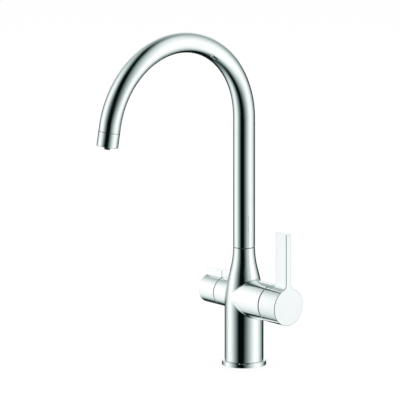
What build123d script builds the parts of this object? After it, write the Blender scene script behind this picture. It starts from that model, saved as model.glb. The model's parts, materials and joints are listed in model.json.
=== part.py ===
from build123d import *
import os
from math import atan2, cos, degrees, dist, pi, radians, sin

# Three way filtered water tap, in millimetres. The origin is the middle of the base's underside,
# +Z is up, the spout reaches along -Y, the mixer valve is on +X and the filter valve on -X.

# ---- outer form: column, neck and base ----
COLUMN_R = 22.2           # lower column of the casting
FLARE_START = 64.0        # height where the flare leaves the column
FLARE_SPLIT = 0.635       # share of the flare's height and width at its point of inflection
NECK_TOP = 136.6          # top face of the casting, under the slide ring
BASE_R = 25.2             # base ring that covers the worktop hole
BASE_H = 5.1
BASE_BEVEL = 0.7

# ---- swan-neck spout ----
SPOUT_R = 12.5            # outer radius of the tube, also of the neck's top and the housing
SPOUT_WALL = 1.3
BEND_R = 101.0            # radius of the bend's centre line
BEND_CENTRE_Z = 287.6
BEND_ANGLE = 170.0        # degrees of the bend, so the outlet leans 10 degrees outwards
OVAL_FLAT = 0.08          # share that bending flattens the tube in the plane of the bend
OVAL_WIDE = 0.055         # share that it widens the tube across that plane
OVAL_RUN = 25.0           # degrees of the bend over which the oval comes and goes
OVAL_SECTIONS = 34        # steps of the bend's loft
END_STRAIGHT = 6.2        # straight end of the tube after the bend
HOUSING_L = 16.9          # aerator housing

# ---- valves: both axes lie along X at one height ----
AXIS_Z = 79.0
MIXER_R = 21.6            # mixer boss and lever hub
MIXER_BOSS_L = 49.4       # from the column's axis to the boss mouth
MIXER_GAP = 1.2           # open ring joint between boss and hub
FILTER_R = 16.4
FILTER_BOSS_L = 34.4
FILTER_GAP = 0.6
BOSS_FILLET = 3.0         # soft blend of the mixer boss into the column
FILTER_FILLET = 1.5

# ---- levers ----
HUB_COLLAR = 9.8          # round hub before the mixer's blade
BLADE_W = 18.3            # blade along the valve's axis, up to the disc face
BLADE_T = 7.4
BLADE_TOP = 85.0          # above the valve's axis
BLADE_FOOT_R = 7.0        # concave foot between blade and disc
FIN_W = 26.0              # fin and hub of the filter lever along the valve's axis
FIN_T = 7.3
FIN_TOP = 24.7
FIN_FOOT_R = 3.0
EDGE = 0.5                # small bevel on the levers' edges
JOINT_BEVEL = 0.25        # break of the edges beside an open joint

# ---- fits ----
FIT = 0.05                # radial clearance of a fit or a shaft
SLIDE = 0.1               # axial clearance of a turning face
SEAL_WIDTH = 0.3          # room on each side of an O-ring in its groove
MOVING_IN = 0.4           # a moving disc is this much smaller than its fixed one
SOCKET_ROOM = 0.5         # room past the end of a spindle
KEY_SHARE = 0.5           # key socket of a grub screw, as a share of the screw
CUT = 1.0                 # how far a cutting solid runs past the face that it cuts

# ---- swivel joint ----
SLIDE_RING_H = 0.8
SLIDE_RING_IN = 0.4       # how far the slide ring stands in from the tube's surface
SWIVEL_BORE_R = 9.6       # bore of the neck for the nipple
SWIVEL_DEPTH = 30.0       # how far the nipple reaches into the neck
NIPPLE_BORE_R = 6.8
NIPPLE_PLUG_L = 14.0      # part of the nipple inside the tube
SPOUT_SEAL_R = 1.0        # section radius of the two O-rings
SPOUT_SEAL_DEPTHS = (17.5, 25.5)
LOCK_DEPTH = 9.5          # retaining screw and its groove, below the neck's top
LOCK_R = 2.0
LOCK_PLAY = 0.4

# ---- filtered-water line ----
TUBE_R = 3.175            # quarter-inch tube
TUBE_BORE_R = 2.15
CHAMBER_R = 8.0           # mixed-water chamber under the nipple
CHAMBER_RISE = 8.4        # floor of the chamber above the valves' axis
FERRULE_R = 4.4
FERRULE_IN = 5.6          # depth of the ferrule in its socket
FERRULE_OUT = 12.0        # ferrule above the chamber's floor
FERRULE_BORE_R = 2.0
FERRULE_SEAL_R = 0.7

# ---- outlet ----
SPIGOT_L = 6.0            # threaded spigot of the housing inside the tube
INSERT_R = 9.6            # bore of the housing for the insert
STEP_Z = 2.0              # shoulder in the housing, from the joint line
STEP_W = 1.8
WASHER_H = 1.2
WASHER_W = 2.3
INSERT_WALL = 1.35
INSERT_FLOOR = 2.0
INSERT_CORE_WALL = 1.15   # collar of the insert round the nozzle
INSERT_HOLE_R = 0.8
INSERT_HOLES = 12
INSERT_HOLE_CIRCLE = 6.6
INSERT_RECESS = 0.6       # the insert lies this far inside the housing's end
NOZZLE_R = 3.4
NOZZLE_OUT = 3.0          # how far the nozzle stands out of the housing
NOZZLE_COLLAR_R = 4.8
NOZZLE_COLLAR_L = 9.0
NOZZLE_SOCKET_L = 5.8     # depth of the inner tube in the nozzle
SCREEN_T = 0.8
SCREEN_HOLE_R = 0.55
SCREEN_PITCH = 2.25
SCREEN_CIRCLES = (5.2, 7.2)

# ---- mixer cartridge ----
CART_DEPTH = 29.4         # from the boss mouth to the cartridge's seat
CART_R = 17.5             # bore for the cartridge
CART_BASE_T = 5.0
CART_DISC_R = 14.0
CART_DISC_T = 3.5
CARRIER_T = 6.0
CARRIER_FLOOR = 1.5       # carrier under the spindle's foot
NUT_DEPTH = 4.4           # from the boss mouth to the shoulder that the nut clamps
NUT_R = 19.2              # bore for the nut's thread
NUT_HOLE_R = 11.6
NUT_RECESS = 0.4          # the nut's ring lies this far inside the boss mouth
NUT_HEX_AF = 30.0
NUT_HEX_T = 3.4
PORT_R = 2.8
PORT_Y = 9.5
PORT_DROP = 5.0           # hot and cold ports below the axis
MIXED_RISE = 12.0         # mixed-water port above the axis
PORT_SEAL_R = 4.6
PORT_SEAL_T = 1.4
DISC_PORT_R = 2.4         # ports of the ceramic discs
DISC_PORT_RADIUS = 10.7   # their distance from the axis
DISC_PORT_SPREAD = 25.0   # degrees from straight down to each supply port
DISC_WAY_REST = 60.0      # degrees from straight down to the moving disc's way, closed
DISC_WAY_DEPTH = 2.0
STEM_R = 5.0
STEM_AF = 8.0             # square end of the spindle
STEM_FOOT_AF = 7.0        # square foot in the carrier
STEM_LAP = 1.0            # round shaft that ends this far before the lever's socket
STEM_SOCKET_L = 13.0      # square end inside the lever
STEM_SEAL_R = 0.9
STEM_SEAL_UP = 1.5        # O-ring beyond the housing's shoulder

# ---- filter headwork ----
WORK_DEPTH = 19.4         # from the boss mouth to the headwork's seat
WORK_R = 12.0             # bore for the headwork
WORK_WASHER_T = 1.5
WORK_DISC_R = 9.0
WORK_DISC_T = 3.0
WORK_FLANGE_T = 4.2       # driving flange of the spindle
WORK_HEX_AF = 24.0
WORK_HEX_T = 3.4
WORK_DROP = 5.5           # filtered-water inlet port below the axis
WORK_PORT_R = 1.9
WORK_WAY_DEPTH = 1.5
WORK_STEM_R = 3.5
WORK_STEM_AF = 5.6
WORK_SOCKET_L = 11.5
WORK_SEAL_R = 0.7
WORK_SEAL_BACK = 3.0      # O-ring behind the boss mouth

# ---- lever hubs ----
HUB_WALL = 2.2
HUB_CAVITY_L = 6.4        # depth of the mixer hub's cavity
HUB_SCREW_UP = 6.5        # screw beyond the cavity
HUB_SCREW_R = 2.5
HUB_SCREW_L = 9.0
FIN_CAVITY_L = 5.5
FIN_SCREW_UP = 5.5
FIN_SCREW_R = 2.0
FIN_SCREW_L = 6.5
PLUG_EXTRA_R = 0.8        # the plug is this much larger than its screw
PLUG_T = 2.6
PLUG_RECESS = 0.25

# ---- underside ----
SPIGOT_R = 17.0
STUD_HOLE_R = 3.4         # tapped for an 8 mm stud
STUD_HOLE_L = 24.0
INLET_R = 4.5             # tapped for a 10 mm fine thread
INLET_L = 13.0
INLET_X = 6.0
RISER_R = 3.1
FILTER_INLET_R = 3.5      # tapped for an 8 mm fine thread
FILTER_INLET_L = 11.0
FILTER_INLET_X = -10.5
FILTER_RISER_R = 2.4
DRILL_OVER = 0.6          # how far a bore runs past the one that it meets
GASKET_IN_R = 19.4
GASKET_OUT_R = 23.2
GASKET_H = 2.0

# ---- derived ----
TUBE_IN_R = SPOUT_R - SPOUT_WALL
TUBE_START_Z = NECK_TOP + SLIDE_RING_H + SLIDE
NIPPLE_END_Z = NECK_TOP - SWIVEL_DEPTH
CHAMBER_FLOOR = AXIS_Z + CHAMBER_RISE
HUB_START = MIXER_BOSS_L + MIXER_GAP
HUB_CAVITY_END = HUB_START + HUB_CAVITY_L
HUB_SCREW_X = HUB_CAVITY_END + HUB_SCREW_UP
BLADE_BACK = HUB_START + HUB_COLLAR
MIXER_END = BLADE_BACK + BLADE_W
FIN_START = FILTER_BOSS_L + FILTER_GAP
FIN_CAVITY_END = FIN_START + FIN_CAVITY_L
FIN_SCREW_X = FIN_CAVITY_END + FIN_SCREW_UP
FILTER_END = FIN_START + FIN_W
CART_SEAT = MIXER_BOSS_L - CART_DEPTH
CART_SHOULDER = MIXER_BOSS_L - NUT_DEPTH
STEM_END = HUB_CAVITY_END + STEM_SOCKET_L
CART_DISC_X = CART_SEAT + CART_BASE_T
MOVING_X = CART_DISC_X + CART_DISC_T + SLIDE
CARRIER_X = MOVING_X + CART_DISC_T
CART_BORE_END = CARRIER_X + CARRIER_T + SLIDE
NUT_END = MIXER_BOSS_L - NUT_RECESS
STEM_SEAL_X = CART_SHOULDER + STEM_SEAL_UP
WORK_SEAT = FILTER_BOSS_L - WORK_DEPTH
WORK_DISC_X = WORK_SEAT + WORK_WASHER_T
WORK_MOVING_X = WORK_DISC_X + WORK_DISC_T + SLIDE
WORK_STEM_X = WORK_MOVING_X + WORK_DISC_T
WORK_NECK = WORK_STEM_X + WORK_FLANGE_T + SLIDE
WORK_STEM_END = FIN_CAVITY_END + WORK_SOCKET_L
WORK_SEAL_X = FILTER_BOSS_L - WORK_SEAL_BACK
INSERT_TOP = STEP_Z + WASHER_H
SCREEN_END = HOUSING_L - INSERT_RECESS
OUTLET_LEAN = radians(180.0 - BEND_ANGLE)
BEND_END_Y = -BEND_R - BEND_R * cos(OUTLET_LEAN)
BEND_END_Z = BEND_CENTRE_Z + BEND_R * sin(OUTLET_LEAN)


def rod(radius, start, end):
    """A cylinder along Z between two heights."""
    return Pos(0, 0, (start + end) / 2) * Cylinder(radius, end - start)


def ring(outer, inner, start, end):
    """A flat-ended ring along Z between two heights."""
    return rod(outer, start, end) - rod(inner, start - CUT, end + CUT)


def x_rod(radius, start, end, y=0.0, z=AXIS_Z):
    """A cylinder along X between two distances."""
    return Pos((start + end) / 2, y, z) * Rot(0, 90, 0) * Cylinder(radius, end - start)


def x_ring(outer, inner, start, end):
    """A flat-ended ring along the valves' axis."""
    return x_rod(outer, start, end) - x_rod(inner, start - CUT, end + CUT)


def x_bar(across, start, end):
    """A square bar on the valves' axis."""
    return Pos((start + end) / 2, 0, AXIS_Z) * Box(end - start, across, across)


def x_hexagon(across_flats, start, end):
    """A hexagonal prism on the valves' axis."""
    face = Plane.YZ * RegularPolygon(across_flats / 2, 6, major_radius=False)
    return Pos(start, 0, AXIS_Z) * extrude(face, end - start)


def drill(radius, z_start, z_end, x=0.0, y=0.0):
    """A vertical bore, as a solid to take away."""
    return Pos(x, y, 0) * rod(radius, z_start, z_end)


def to_filter(shape):
    """Turns a shape made along +X to the filter side."""
    return Rot(0, 0, 180) * shape


def o_ring(section_r, outer_r, z):
    """An O-ring round Z with the given outer radius."""
    return Pos(0, 0, z) * Torus(outer_r - section_r, section_r)


def x_o_ring(section_r, outer_r, x):
    """An O-ring round the valves' axis."""
    return Pos(x, 0, AXIS_Z) * Rot(0, 90, 0) * Torus(outer_r - section_r, section_r)


def flat_edges(body, x):
    """The edges of a body that lie in one plane across X."""
    edges = []
    for edge in body.edges():
        box = edge.bounding_box()
        if abs(box.min.X - x) < FIT and abs(box.max.X - x) < FIT:
            edges.append(edge)
    return edges


def bevelled(body, positions, size):
    """Bevels the edges that lie in the planes across X at the given distances."""
    return chamfer([e for x in positions for e in flat_edges(body, x)], size)


# ---- casting ----
def column_form():
    """The column with its double-curved flare."""
    height = NECK_TOP - FLARE_START
    width = COLUMN_R - SPOUT_R
    turn = (COLUMN_R - FLARE_SPLIT * width, FLARE_START + FLARE_SPLIT * height)
    lower = TangentArc((COLUMN_R, FLARE_START), turn, tangent=(0, 1))
    upper = TangentArc((SPOUT_R, NECK_TOP), turn, tangent=(0, -1))
    outline = Line((0, BASE_H), (COLUMN_R, BASE_H))
    outline += Line((COLUMN_R, BASE_H), (COLUMN_R, FLARE_START))
    outline += lower
    outline += upper
    outline += Line((SPOUT_R, NECK_TOP), (0, NECK_TOP))
    outline += Line((0, NECK_TOP), (0, BASE_H))
    return revolve(make_face(Plane.XZ * outline), Axis.Z)


def join_edges(shape, side):
    """The curved edges on one side where a boss meets the column."""
    plain = (GeomType.CIRCLE, GeomType.LINE)
    return [e for e in shape.edges() if e.geom_type not in plain and e.center().X * side > 1]


def outer_casting():
    """Column, bosses and spigot with their blends, still solid."""
    filter_boss = to_filter(x_rod(FILTER_R, 0, FILTER_BOSS_L))
    form = column_form() + filter_boss
    form = fillet(join_edges(form, -1), FILTER_FILLET)
    form = form + x_rod(MIXER_R, 0, MIXER_BOSS_L)
    form = fillet(join_edges(form, 1), BOSS_FILLET)
    form = bevelled(form, (MIXER_BOSS_L, -FILTER_BOSS_L), JOINT_BEVEL)
    return form + rod(SPIGOT_R, 0, BASE_H)


def supply_bores():
    """Hot, cold and filtered-water inlets with their rising bores."""
    port_z = AXIS_Z - PORT_DROP
    bores = drill(STUD_HOLE_R, -CUT, STUD_HOLE_L)
    for y in (-PORT_Y, PORT_Y):
        bores += drill(INLET_R, -CUT, INLET_L, INLET_X, y)
        bores += drill(RISER_R, 0, port_z + PORT_R + DRILL_OVER, INLET_X, y)
        bores += x_rod(PORT_R, INLET_X, CART_SEAT + CUT, y, port_z)
    work_z = AXIS_Z - WORK_DROP
    bores += drill(FILTER_INLET_R, -CUT, FILTER_INLET_L, FILTER_INLET_X)
    bores += drill(FILTER_RISER_R, 0, work_z + WORK_PORT_R + DRILL_OVER, FILTER_INLET_X)
    bores += x_rod(WORK_PORT_R, -WORK_SEAT - CUT, FILTER_INLET_X, 0, work_z)
    return bores


def outlet_bores():
    """Mixed-water port and chamber, and the filtered-water way up the middle."""
    socket_end = AXIS_Z - WORK_PORT_R - DRILL_OVER
    bores = rod(SWIVEL_BORE_R, NIPPLE_END_Z - SOCKET_ROOM, NECK_TOP + CUT)
    bores += rod(CHAMBER_R, CHAMBER_FLOOR, NIPPLE_END_Z)
    bores += rod(FERRULE_R + FIT, socket_end, CHAMBER_FLOOR + CUT)
    bores += x_rod(PORT_R, 0, CART_SEAT + CUT, 0, AXIS_Z + MIXED_RISE)
    bores += x_rod(WORK_PORT_R, -WORK_SEAT - CUT, 0)
    return bores


def valve_bores():
    """Stepped bore for the cartridge and its nut, and the headwork's bore."""
    bores = x_rod(CART_R, CART_SEAT, CART_SHOULDER + CUT)
    bores += x_rod(NUT_R, CART_SHOULDER, MIXER_BOSS_L + CUT)
    bores += x_rod(WORK_R, -FILTER_BOSS_L - CUT, -WORK_SEAT)
    return bores


def lock_bore():
    """Radial hole for the retaining screw at the back of the neck."""
    hole = Rot(-90, 0, 0) * rod(LOCK_R + FIT, SWIVEL_BORE_R - CUT, 2 * SPOUT_R)
    return Pos(0, 0, NECK_TOP - LOCK_DEPTH) * hole


def body_casting():
    """The chromed brass body."""
    bores = supply_bores() + outlet_bores() + valve_bores() + lock_bore()
    return outer_casting() - bores


def base_ring():
    """Ring under the column, with a groove for its seal."""
    body = ring(BASE_R, SPIGOT_R + FIT, 0, BASE_H)
    rim = [e for e in body.edges().filter_by(GeomType.CIRCLE)
           if e.radius > BASE_R - FIT and e.center().Z > FIT]
    body = chamfer(rim, BASE_BEVEL)
    return body - ring(GASKET_OUT_R + FIT, GASKET_IN_R - FIT, -CUT, GASKET_H)


def base_gasket():
    """Flat seal in the base ring's groove, flush with the worktop."""
    return ring(GASKET_OUT_R, GASKET_IN_R, 0, GASKET_H)


# ---- swivel joint ----
def neck_slide_ring():
    """Thin ring that the spout turns on."""
    return ring(SPOUT_R - SLIDE_RING_IN, SWIVEL_BORE_R + FIT, NECK_TOP, NECK_TOP + SLIDE_RING_H)


def spout_nipple():
    """Turned nipple in the foot of the spout, with seal grooves and a locking groove."""
    outer_r = SWIVEL_BORE_R - FIT
    body = rod(outer_r, NIPPLE_END_Z, TUBE_START_Z + CUT)
    body += rod(TUBE_IN_R - FIT, TUBE_START_Z, TUBE_START_Z + NIPPLE_PLUG_L)
    seal_floor = outer_r - 2 * SPOUT_SEAL_R - FIT
    half = SPOUT_SEAL_R + SEAL_WIDTH
    for depth in SPOUT_SEAL_DEPTHS:
        z = NECK_TOP - depth
        body -= ring(SWIVEL_BORE_R + CUT, seal_floor, z - half, z + half)
    lock_z = NECK_TOP - LOCK_DEPTH
    lock_half = LOCK_R + LOCK_PLAY
    body -= ring(SWIVEL_BORE_R + CUT, outer_r - LOCK_R + LOCK_PLAY, lock_z - lock_half,
                 lock_z + lock_half)
    return body - rod(NIPPLE_BORE_R, 0, 2 * NECK_TOP)


def spout_o_rings():
    """The two O-rings on the nipple."""
    rings = [o_ring(SPOUT_SEAL_R, SWIVEL_BORE_R - FIT, NECK_TOP - depth)
             for depth in SPOUT_SEAL_DEPTHS]
    return Compound(children=rings)


def spout_lock_screw():
    """Grub screw whose tip runs in the nipple's groove."""
    tip = SWIVEL_BORE_R - FIT - LOCK_R + 2 * LOCK_PLAY
    tail = SPOUT_R
    screw = rod(LOCK_R, tip, tail)
    socket = extrude(Pos(0, 0, tail) * RegularPolygon(KEY_SHARE * LOCK_R, 6), -LOCK_R)
    return Pos(0, 0, NECK_TOP - LOCK_DEPTH) * Rot(-90, 0, 0) * (screw - socket)


# ---- spout ----
def spout_path(start_z, end_run):
    """Centre line up the column, round the bend and out along the outlet."""
    rise = Line((0, start_z), (0, BEND_CENTRE_Z))
    bend = CenterArc((-BEND_R, BEND_CENTRE_Z), BEND_R, 0, BEND_ANGLE)
    foot = (BEND_END_Y, BEND_END_Z)
    tip = (BEND_END_Y - end_run * sin(OUTLET_LEAN), BEND_END_Z - end_run * cos(OUTLET_LEAN))
    return Plane.YZ * (rise + bend + Line(foot, tip))


def bend_section(radius, angle):
    """Section of the bend, round at both ends and oval between them."""
    run = min(angle, BEND_ANGLE - angle, OVAL_RUN) / OVAL_RUN
    oval = run * run * (3 - 2 * run)
    turn = radians(angle)
    centre = (0, BEND_R * (cos(turn) - 1), BEND_CENTRE_Z + BEND_R * sin(turn))
    plane = Plane(origin=centre, x_dir=(1, 0, 0), z_dir=(0, -sin(turn), cos(turn)))
    return plane * Ellipse(radius * (1 + OVAL_WIDE * oval), radius * (1 - OVAL_FLAT * oval))


def bend_form(radius):
    """The bend as a closed solid of the given radius."""
    angles = [BEND_ANGLE * i / OVAL_SECTIONS for i in range(OVAL_SECTIONS + 1)]
    return loft([bend_section(radius, angle) for angle in angles])


def spout_tube():
    """The swan-neck tube from the slide ring to the aerator housing."""
    rise = ring(SPOUT_R, TUBE_IN_R, TUBE_START_Z, BEND_CENTRE_Z)
    bend = bend_form(SPOUT_R) - bend_form(TUBE_IN_R)
    return rise + bend + to_outlet(ring(SPOUT_R, TUBE_IN_R, -END_STRAIGHT, 0))


def filtered_tube():
    """Inner tube that carries the filtered water apart from the mixed water."""
    start = CHAMBER_FLOOR + FERRULE_OUT / 2
    path = spout_path(start, END_STRAIGHT + INSERT_TOP - NOZZLE_COLLAR_L + NOZZLE_SOCKET_L)
    section = Pos(0, 0, start) * (Circle(TUBE_R) - Circle(TUBE_BORE_R))
    return sweep(section, path=path)


def tube_ferrule():
    """Turned end of the inner tube, free to turn in the casting's socket."""
    bottom = CHAMBER_FLOOR - FERRULE_IN
    top = CHAMBER_FLOOR + FERRULE_OUT
    body = rod(FERRULE_R, bottom, top)
    body -= rod(TUBE_R + FIT, CHAMBER_FLOOR + FERRULE_OUT / 2, top + CUT)
    seal_z = CHAMBER_FLOOR - FERRULE_IN / 2
    half = FERRULE_SEAL_R + SEAL_WIDTH
    floor_r = FERRULE_R - 2 * FERRULE_SEAL_R - FIT
    body -= ring(FERRULE_R + CUT, floor_r, seal_z - half, seal_z + half)
    return body - rod(FERRULE_BORE_R, bottom - CUT, top + CUT)


def ferrule_o_ring():
    """O-ring on the ferrule."""
    return o_ring(FERRULE_SEAL_R, FERRULE_R, CHAMBER_FLOOR - FERRULE_IN / 2)


# ---- outlet: made along +Z from the joint line, then turned into place ----
def to_outlet(shape):
    """Turns a shape made along +Z from the joint line into the outlet's direction."""
    y = BEND_END_Y - END_STRAIGHT * sin(OUTLET_LEAN)
    z = BEND_END_Z - END_STRAIGHT * cos(OUTLET_LEAN)
    return Pos(0, y, z) * Rot(BEND_ANGLE, 0, 0) * shape


def aerator_housing():
    """Sleeve screwed into the end of the spout."""
    body = rod(SPOUT_R, 0, HOUSING_L)
    body = chamfer(body.edges().sort_by(Axis.Z)[-1], EDGE)
    body = chamfer(body.edges().sort_by(Axis.Z)[0], JOINT_BEVEL)
    body += rod(TUBE_IN_R - FIT, -SPIGOT_L, CUT)
    body -= rod(INSERT_R, STEP_Z, HOUSING_L + CUT)
    body -= rod(INSERT_R - STEP_W, -SPIGOT_L - CUT, STEP_Z + CUT)
    return to_outlet(body)


def aerator_washer():
    """Flat seal on the shoulder of the housing."""
    return to_outlet(ring(INSERT_R - FIT, INSERT_R - WASHER_W, STEP_Z, INSERT_TOP))


def hole_circle(radius, count, hole_r, start, end):
    """A circle of small bores, as solids to take away."""
    holes = [Rot(0, 0, 360.0 * i / count) * Pos(radius, 0, 0) * rod(hole_r, start, end)
             for i in range(count)]
    return holes


def aerator_insert():
    """Cup of the aerator with a collar round the nozzle."""
    bottom = SCREEN_END - SCREEN_T
    body = rod(INSERT_R - FIT, INSERT_TOP, bottom)
    body -= ring(INSERT_R - FIT - INSERT_WALL, NOZZLE_R + FIT + INSERT_CORE_WALL,
                 INSERT_TOP + INSERT_FLOOR, bottom + CUT)
    body -= rod(NOZZLE_R + FIT, INSERT_TOP - CUT, bottom + CUT)
    holes = hole_circle(INSERT_HOLE_CIRCLE, INSERT_HOLES, INSERT_HOLE_R, INSERT_TOP - CUT,
                        INSERT_TOP + INSERT_FLOOR + CUT)
    for hole in holes:
        body -= hole
    return to_outlet(body)


def aerator_screen():
    """Perforated disc at the mouth of the insert."""
    start = SCREEN_END - SCREEN_T
    body = ring(INSERT_R - FIT, NOZZLE_R + FIT, start, SCREEN_END)
    for radius in SCREEN_CIRCLES:
        count = int(2 * pi * radius / SCREEN_PITCH)
        for hole in hole_circle(radius, count, SCREEN_HOLE_R, start - CUT, SCREEN_END + CUT):
            body -= hole
    return to_outlet(body)


def filtered_nozzle():
    """Nozzle of the filtered water, with a socket for the inner tube."""
    tip = HOUSING_L + NOZZLE_OUT
    top = INSERT_TOP - NOZZLE_COLLAR_L
    body = rod(NOZZLE_R, INSERT_TOP - CUT, tip)
    body += rod(NOZZLE_COLLAR_R, top, INSERT_TOP)
    body -= rod(TUBE_R + FIT, top - CUT, top + NOZZLE_SOCKET_L)
    body -= rod(TUBE_BORE_R, top, tip + CUT)
    return to_outlet(body)


# ---- mixer cartridge ----
def seat_ports():
    """Places of the cold, hot and mixed ports on the casting's seat, from the valve's axis."""
    return ((-PORT_Y, -PORT_DROP), (PORT_Y, -PORT_DROP), (0.0, MIXED_RISE))


def disc_place(angle):
    """Place on the discs' port circle, by the angle from straight down towards -Y."""
    turn = radians(angle)
    return (-DISC_PORT_RADIUS * sin(turn), -DISC_PORT_RADIUS * cos(turn))


def disc_ports():
    """Places of the cold, hot and mixed ports in the fixed disc, from the valve's axis."""
    return (disc_place(DISC_PORT_SPREAD), disc_place(-DISC_PORT_SPREAD), (0.0, 0.0))


def x_slot(near, far, radius, start, end):
    """A round-ended slot between two places across the valves' axis."""
    slot = SlotCenterToCenter(dist(near, far), 2 * radius)
    turn = degrees(atan2(far[1] - near[1], far[0] - near[0]))
    middle = ((near[0] + far[0]) / 2, (near[1] + far[1]) / 2)
    face = Plane.YZ * (Pos(middle[0], middle[1]) * Rot(0, 0, turn) * slot)
    return Pos(start, 0, AXIS_Z) * extrude(face, end - start)


def mixer_cartridge_base():
    """Base of the cartridge, whose channels lead from the seat's ports to the disc's ports."""
    body = x_rod(CART_R - FIT, CART_SEAT, CART_DISC_X)
    for seat, port in zip(seat_ports(), disc_ports()):
        y, z = seat
        body -= x_rod(PORT_SEAL_R + FIT, CART_SEAT - CUT, CART_SEAT + PORT_SEAL_T, y, AXIS_Z + z)
        body -= x_rod(DISC_PORT_R, CART_SEAT, CART_DISC_X, y, AXIS_Z + z)
        body -= x_slot(seat, port, DISC_PORT_R, CART_DISC_X - DISC_WAY_DEPTH, CART_DISC_X + CUT)
    return body


def mixer_port_seals():
    """The three seals between cartridge and casting."""
    seals = []
    for y, z in seat_ports():
        seal = x_rod(PORT_SEAL_R, CART_SEAT, CART_SEAT + PORT_SEAL_T, y, AXIS_Z + z)
        seals.append(seal - x_rod(PORT_R, CART_SEAT - CUT, CART_DISC_X, y, AXIS_Z + z))
    return Compound(children=seals)


def mixer_fixed_disc():
    """Fixed ceramic disc: both supplies below, mixed water in the middle."""
    body = x_rod(CART_DISC_R, CART_DISC_X, CART_DISC_X + CART_DISC_T)
    for y, z in disc_ports():
        body -= x_rod(DISC_PORT_R, CART_DISC_X - CUT, MOVING_X, y, AXIS_Z + z)
    return body


def mixer_moving_disc():
    """Moving ceramic disc, whose way turns from closed over cold and both to hot."""
    body = x_rod(CART_DISC_R - MOVING_IN, MOVING_X, CARRIER_X)
    way = x_slot((0.0, 0.0), disc_place(DISC_WAY_REST), DISC_PORT_R, MOVING_X - CUT,
                 MOVING_X + DISC_WAY_DEPTH)
    return body - way


def mixer_disc_carrier():
    """Carrier that turns the moving disc."""
    body = x_rod(CART_DISC_R - MOVING_IN, CARRIER_X, CARRIER_X + CARRIER_T)
    end = CARRIER_X + CARRIER_T + CUT
    return body - x_bar(STEM_FOOT_AF + 2 * FIT, CARRIER_X + CARRIER_FLOOR, end)


def mixer_cartridge_housing():
    """Cup of the cartridge round discs and carrier."""
    neck_end = NUT_END + NUT_HEX_T
    body = x_rod(CART_R - FIT, CART_DISC_X, CART_SHOULDER)
    body += x_rod(NUT_HOLE_R - FIT, CART_SHOULDER - CUT, neck_end)
    body -= x_rod(CART_DISC_R + FIT, CART_DISC_X - CUT, CART_BORE_END)
    return body - x_rod(STEM_R + FIT, CART_BORE_END - CUT, neck_end + CUT)


def mixer_spindle():
    """Spindle with a square foot, a seal groove and a square end for the lever."""
    shaft_start = CARRIER_X + CARRIER_T
    shaft_end = HUB_CAVITY_END - STEM_LAP
    body = x_bar(STEM_FOOT_AF, CARRIER_X + CARRIER_FLOOR, shaft_start + CUT)
    body += x_rod(STEM_R, shaft_start, shaft_end)
    body += x_bar(STEM_AF, shaft_end - CUT, STEM_END) & x_rod(STEM_R, HUB_START, STEM_END)
    half = STEM_SEAL_R + SEAL_WIDTH
    floor_r = STEM_R - 2 * STEM_SEAL_R - FIT
    return body - x_ring(STEM_R + CUT, floor_r, STEM_SEAL_X - half, STEM_SEAL_X + half)


def mixer_spindle_o_ring():
    """O-ring on the mixer spindle."""
    return x_o_ring(STEM_SEAL_R, STEM_R, STEM_SEAL_X)


def mixer_retaining_nut():
    """Ring nut that clamps the cartridge, with a hexagon for the key."""
    body = x_rod(NUT_R - FIT, CART_SHOULDER, NUT_END)
    body += x_hexagon(NUT_HEX_AF, NUT_END - CUT, NUT_END + NUT_HEX_T)
    return body - x_rod(NUT_HOLE_R, CART_SHOULDER - CUT, NUT_END + NUT_HEX_T + CUT)


# ---- levers ----
def keyhole(disc_r, thickness, top, foot_r):
    """Disc with an upright tongue and concave feet, across the valve's axis."""
    half = thickness / 2
    side = half + foot_r
    foot_z = ((disc_r + foot_r) ** 2 - side ** 2) ** 0.5
    touch_y = side * disc_r / (disc_r + foot_r)
    touch_z = foot_z * disc_r / (disc_r + foot_r)
    tongue = Pos(0, top / 2) * Rectangle(thickness, top)
    web = Polygon((0, 0), (touch_y, touch_z), (half, foot_z), (-half, foot_z), (-touch_y, touch_z),
                  align=None)
    for y in (-side, side):
        web -= Pos(y, foot_z) * Circle(foot_r)
    return Circle(disc_r) + tongue + web


def screw_holes(x, screw_r, stem_af, hub_r):
    """Hole for a grub screw and the seat of its plug, below the valve's axis."""
    plug_r = screw_r + PLUG_EXTRA_R
    hole = drill(screw_r + FIT, AXIS_Z - hub_r, AXIS_Z - stem_af / 2 + CUT, x)
    return hole + drill(plug_r + FIT, AXIS_Z - hub_r - CUT, AXIS_Z - plug_seat(hub_r), x)


def plug_seat(hub_r):
    """Distance of a plug's seat from the valve's axis."""
    return hub_r - PLUG_T - PLUG_RECESS


def grub_screw(x, screw_r, length, stem_af):
    """Grub screw pressed on the flat of a spindle."""
    top = AXIS_Z - stem_af / 2
    body = drill(screw_r, top - length, top, x)
    socket = Pos(x, 0, top - length) * RegularPolygon(KEY_SHARE * screw_r, 6)
    return body - extrude(socket, screw_r)


def hub_plug(x, screw_r, hub_r):
    """Small plug over a grub screw."""
    seat = plug_seat(hub_r)
    return drill(screw_r + PLUG_EXTRA_R, AXIS_Z - seat - PLUG_T, AXIS_Z - seat, x)


def mixer_lever():
    """Lever with its hub, keyhole face and upright blade."""
    profile = keyhole(MIXER_R, BLADE_T, BLADE_TOP, BLADE_FOOT_R)
    plate = Pos(BLADE_BACK, 0, AXIS_Z) * extrude(Plane.YZ * profile, MIXER_END - BLADE_BACK)
    plate = bevelled(plate, (MIXER_END,), EDGE)
    hub = bevelled(x_rod(MIXER_R, HUB_START, BLADE_BACK + CUT), (HUB_START,), JOINT_BEVEL)
    body = plate + hub
    body -= x_rod(MIXER_R - HUB_WALL, HUB_START - CUT, HUB_CAVITY_END)
    body -= x_bar(STEM_AF + 2 * FIT, HUB_CAVITY_END - CUT, STEM_END + SOCKET_ROOM)
    return body - screw_holes(HUB_SCREW_X, HUB_SCREW_R, STEM_AF, MIXER_R)


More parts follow.
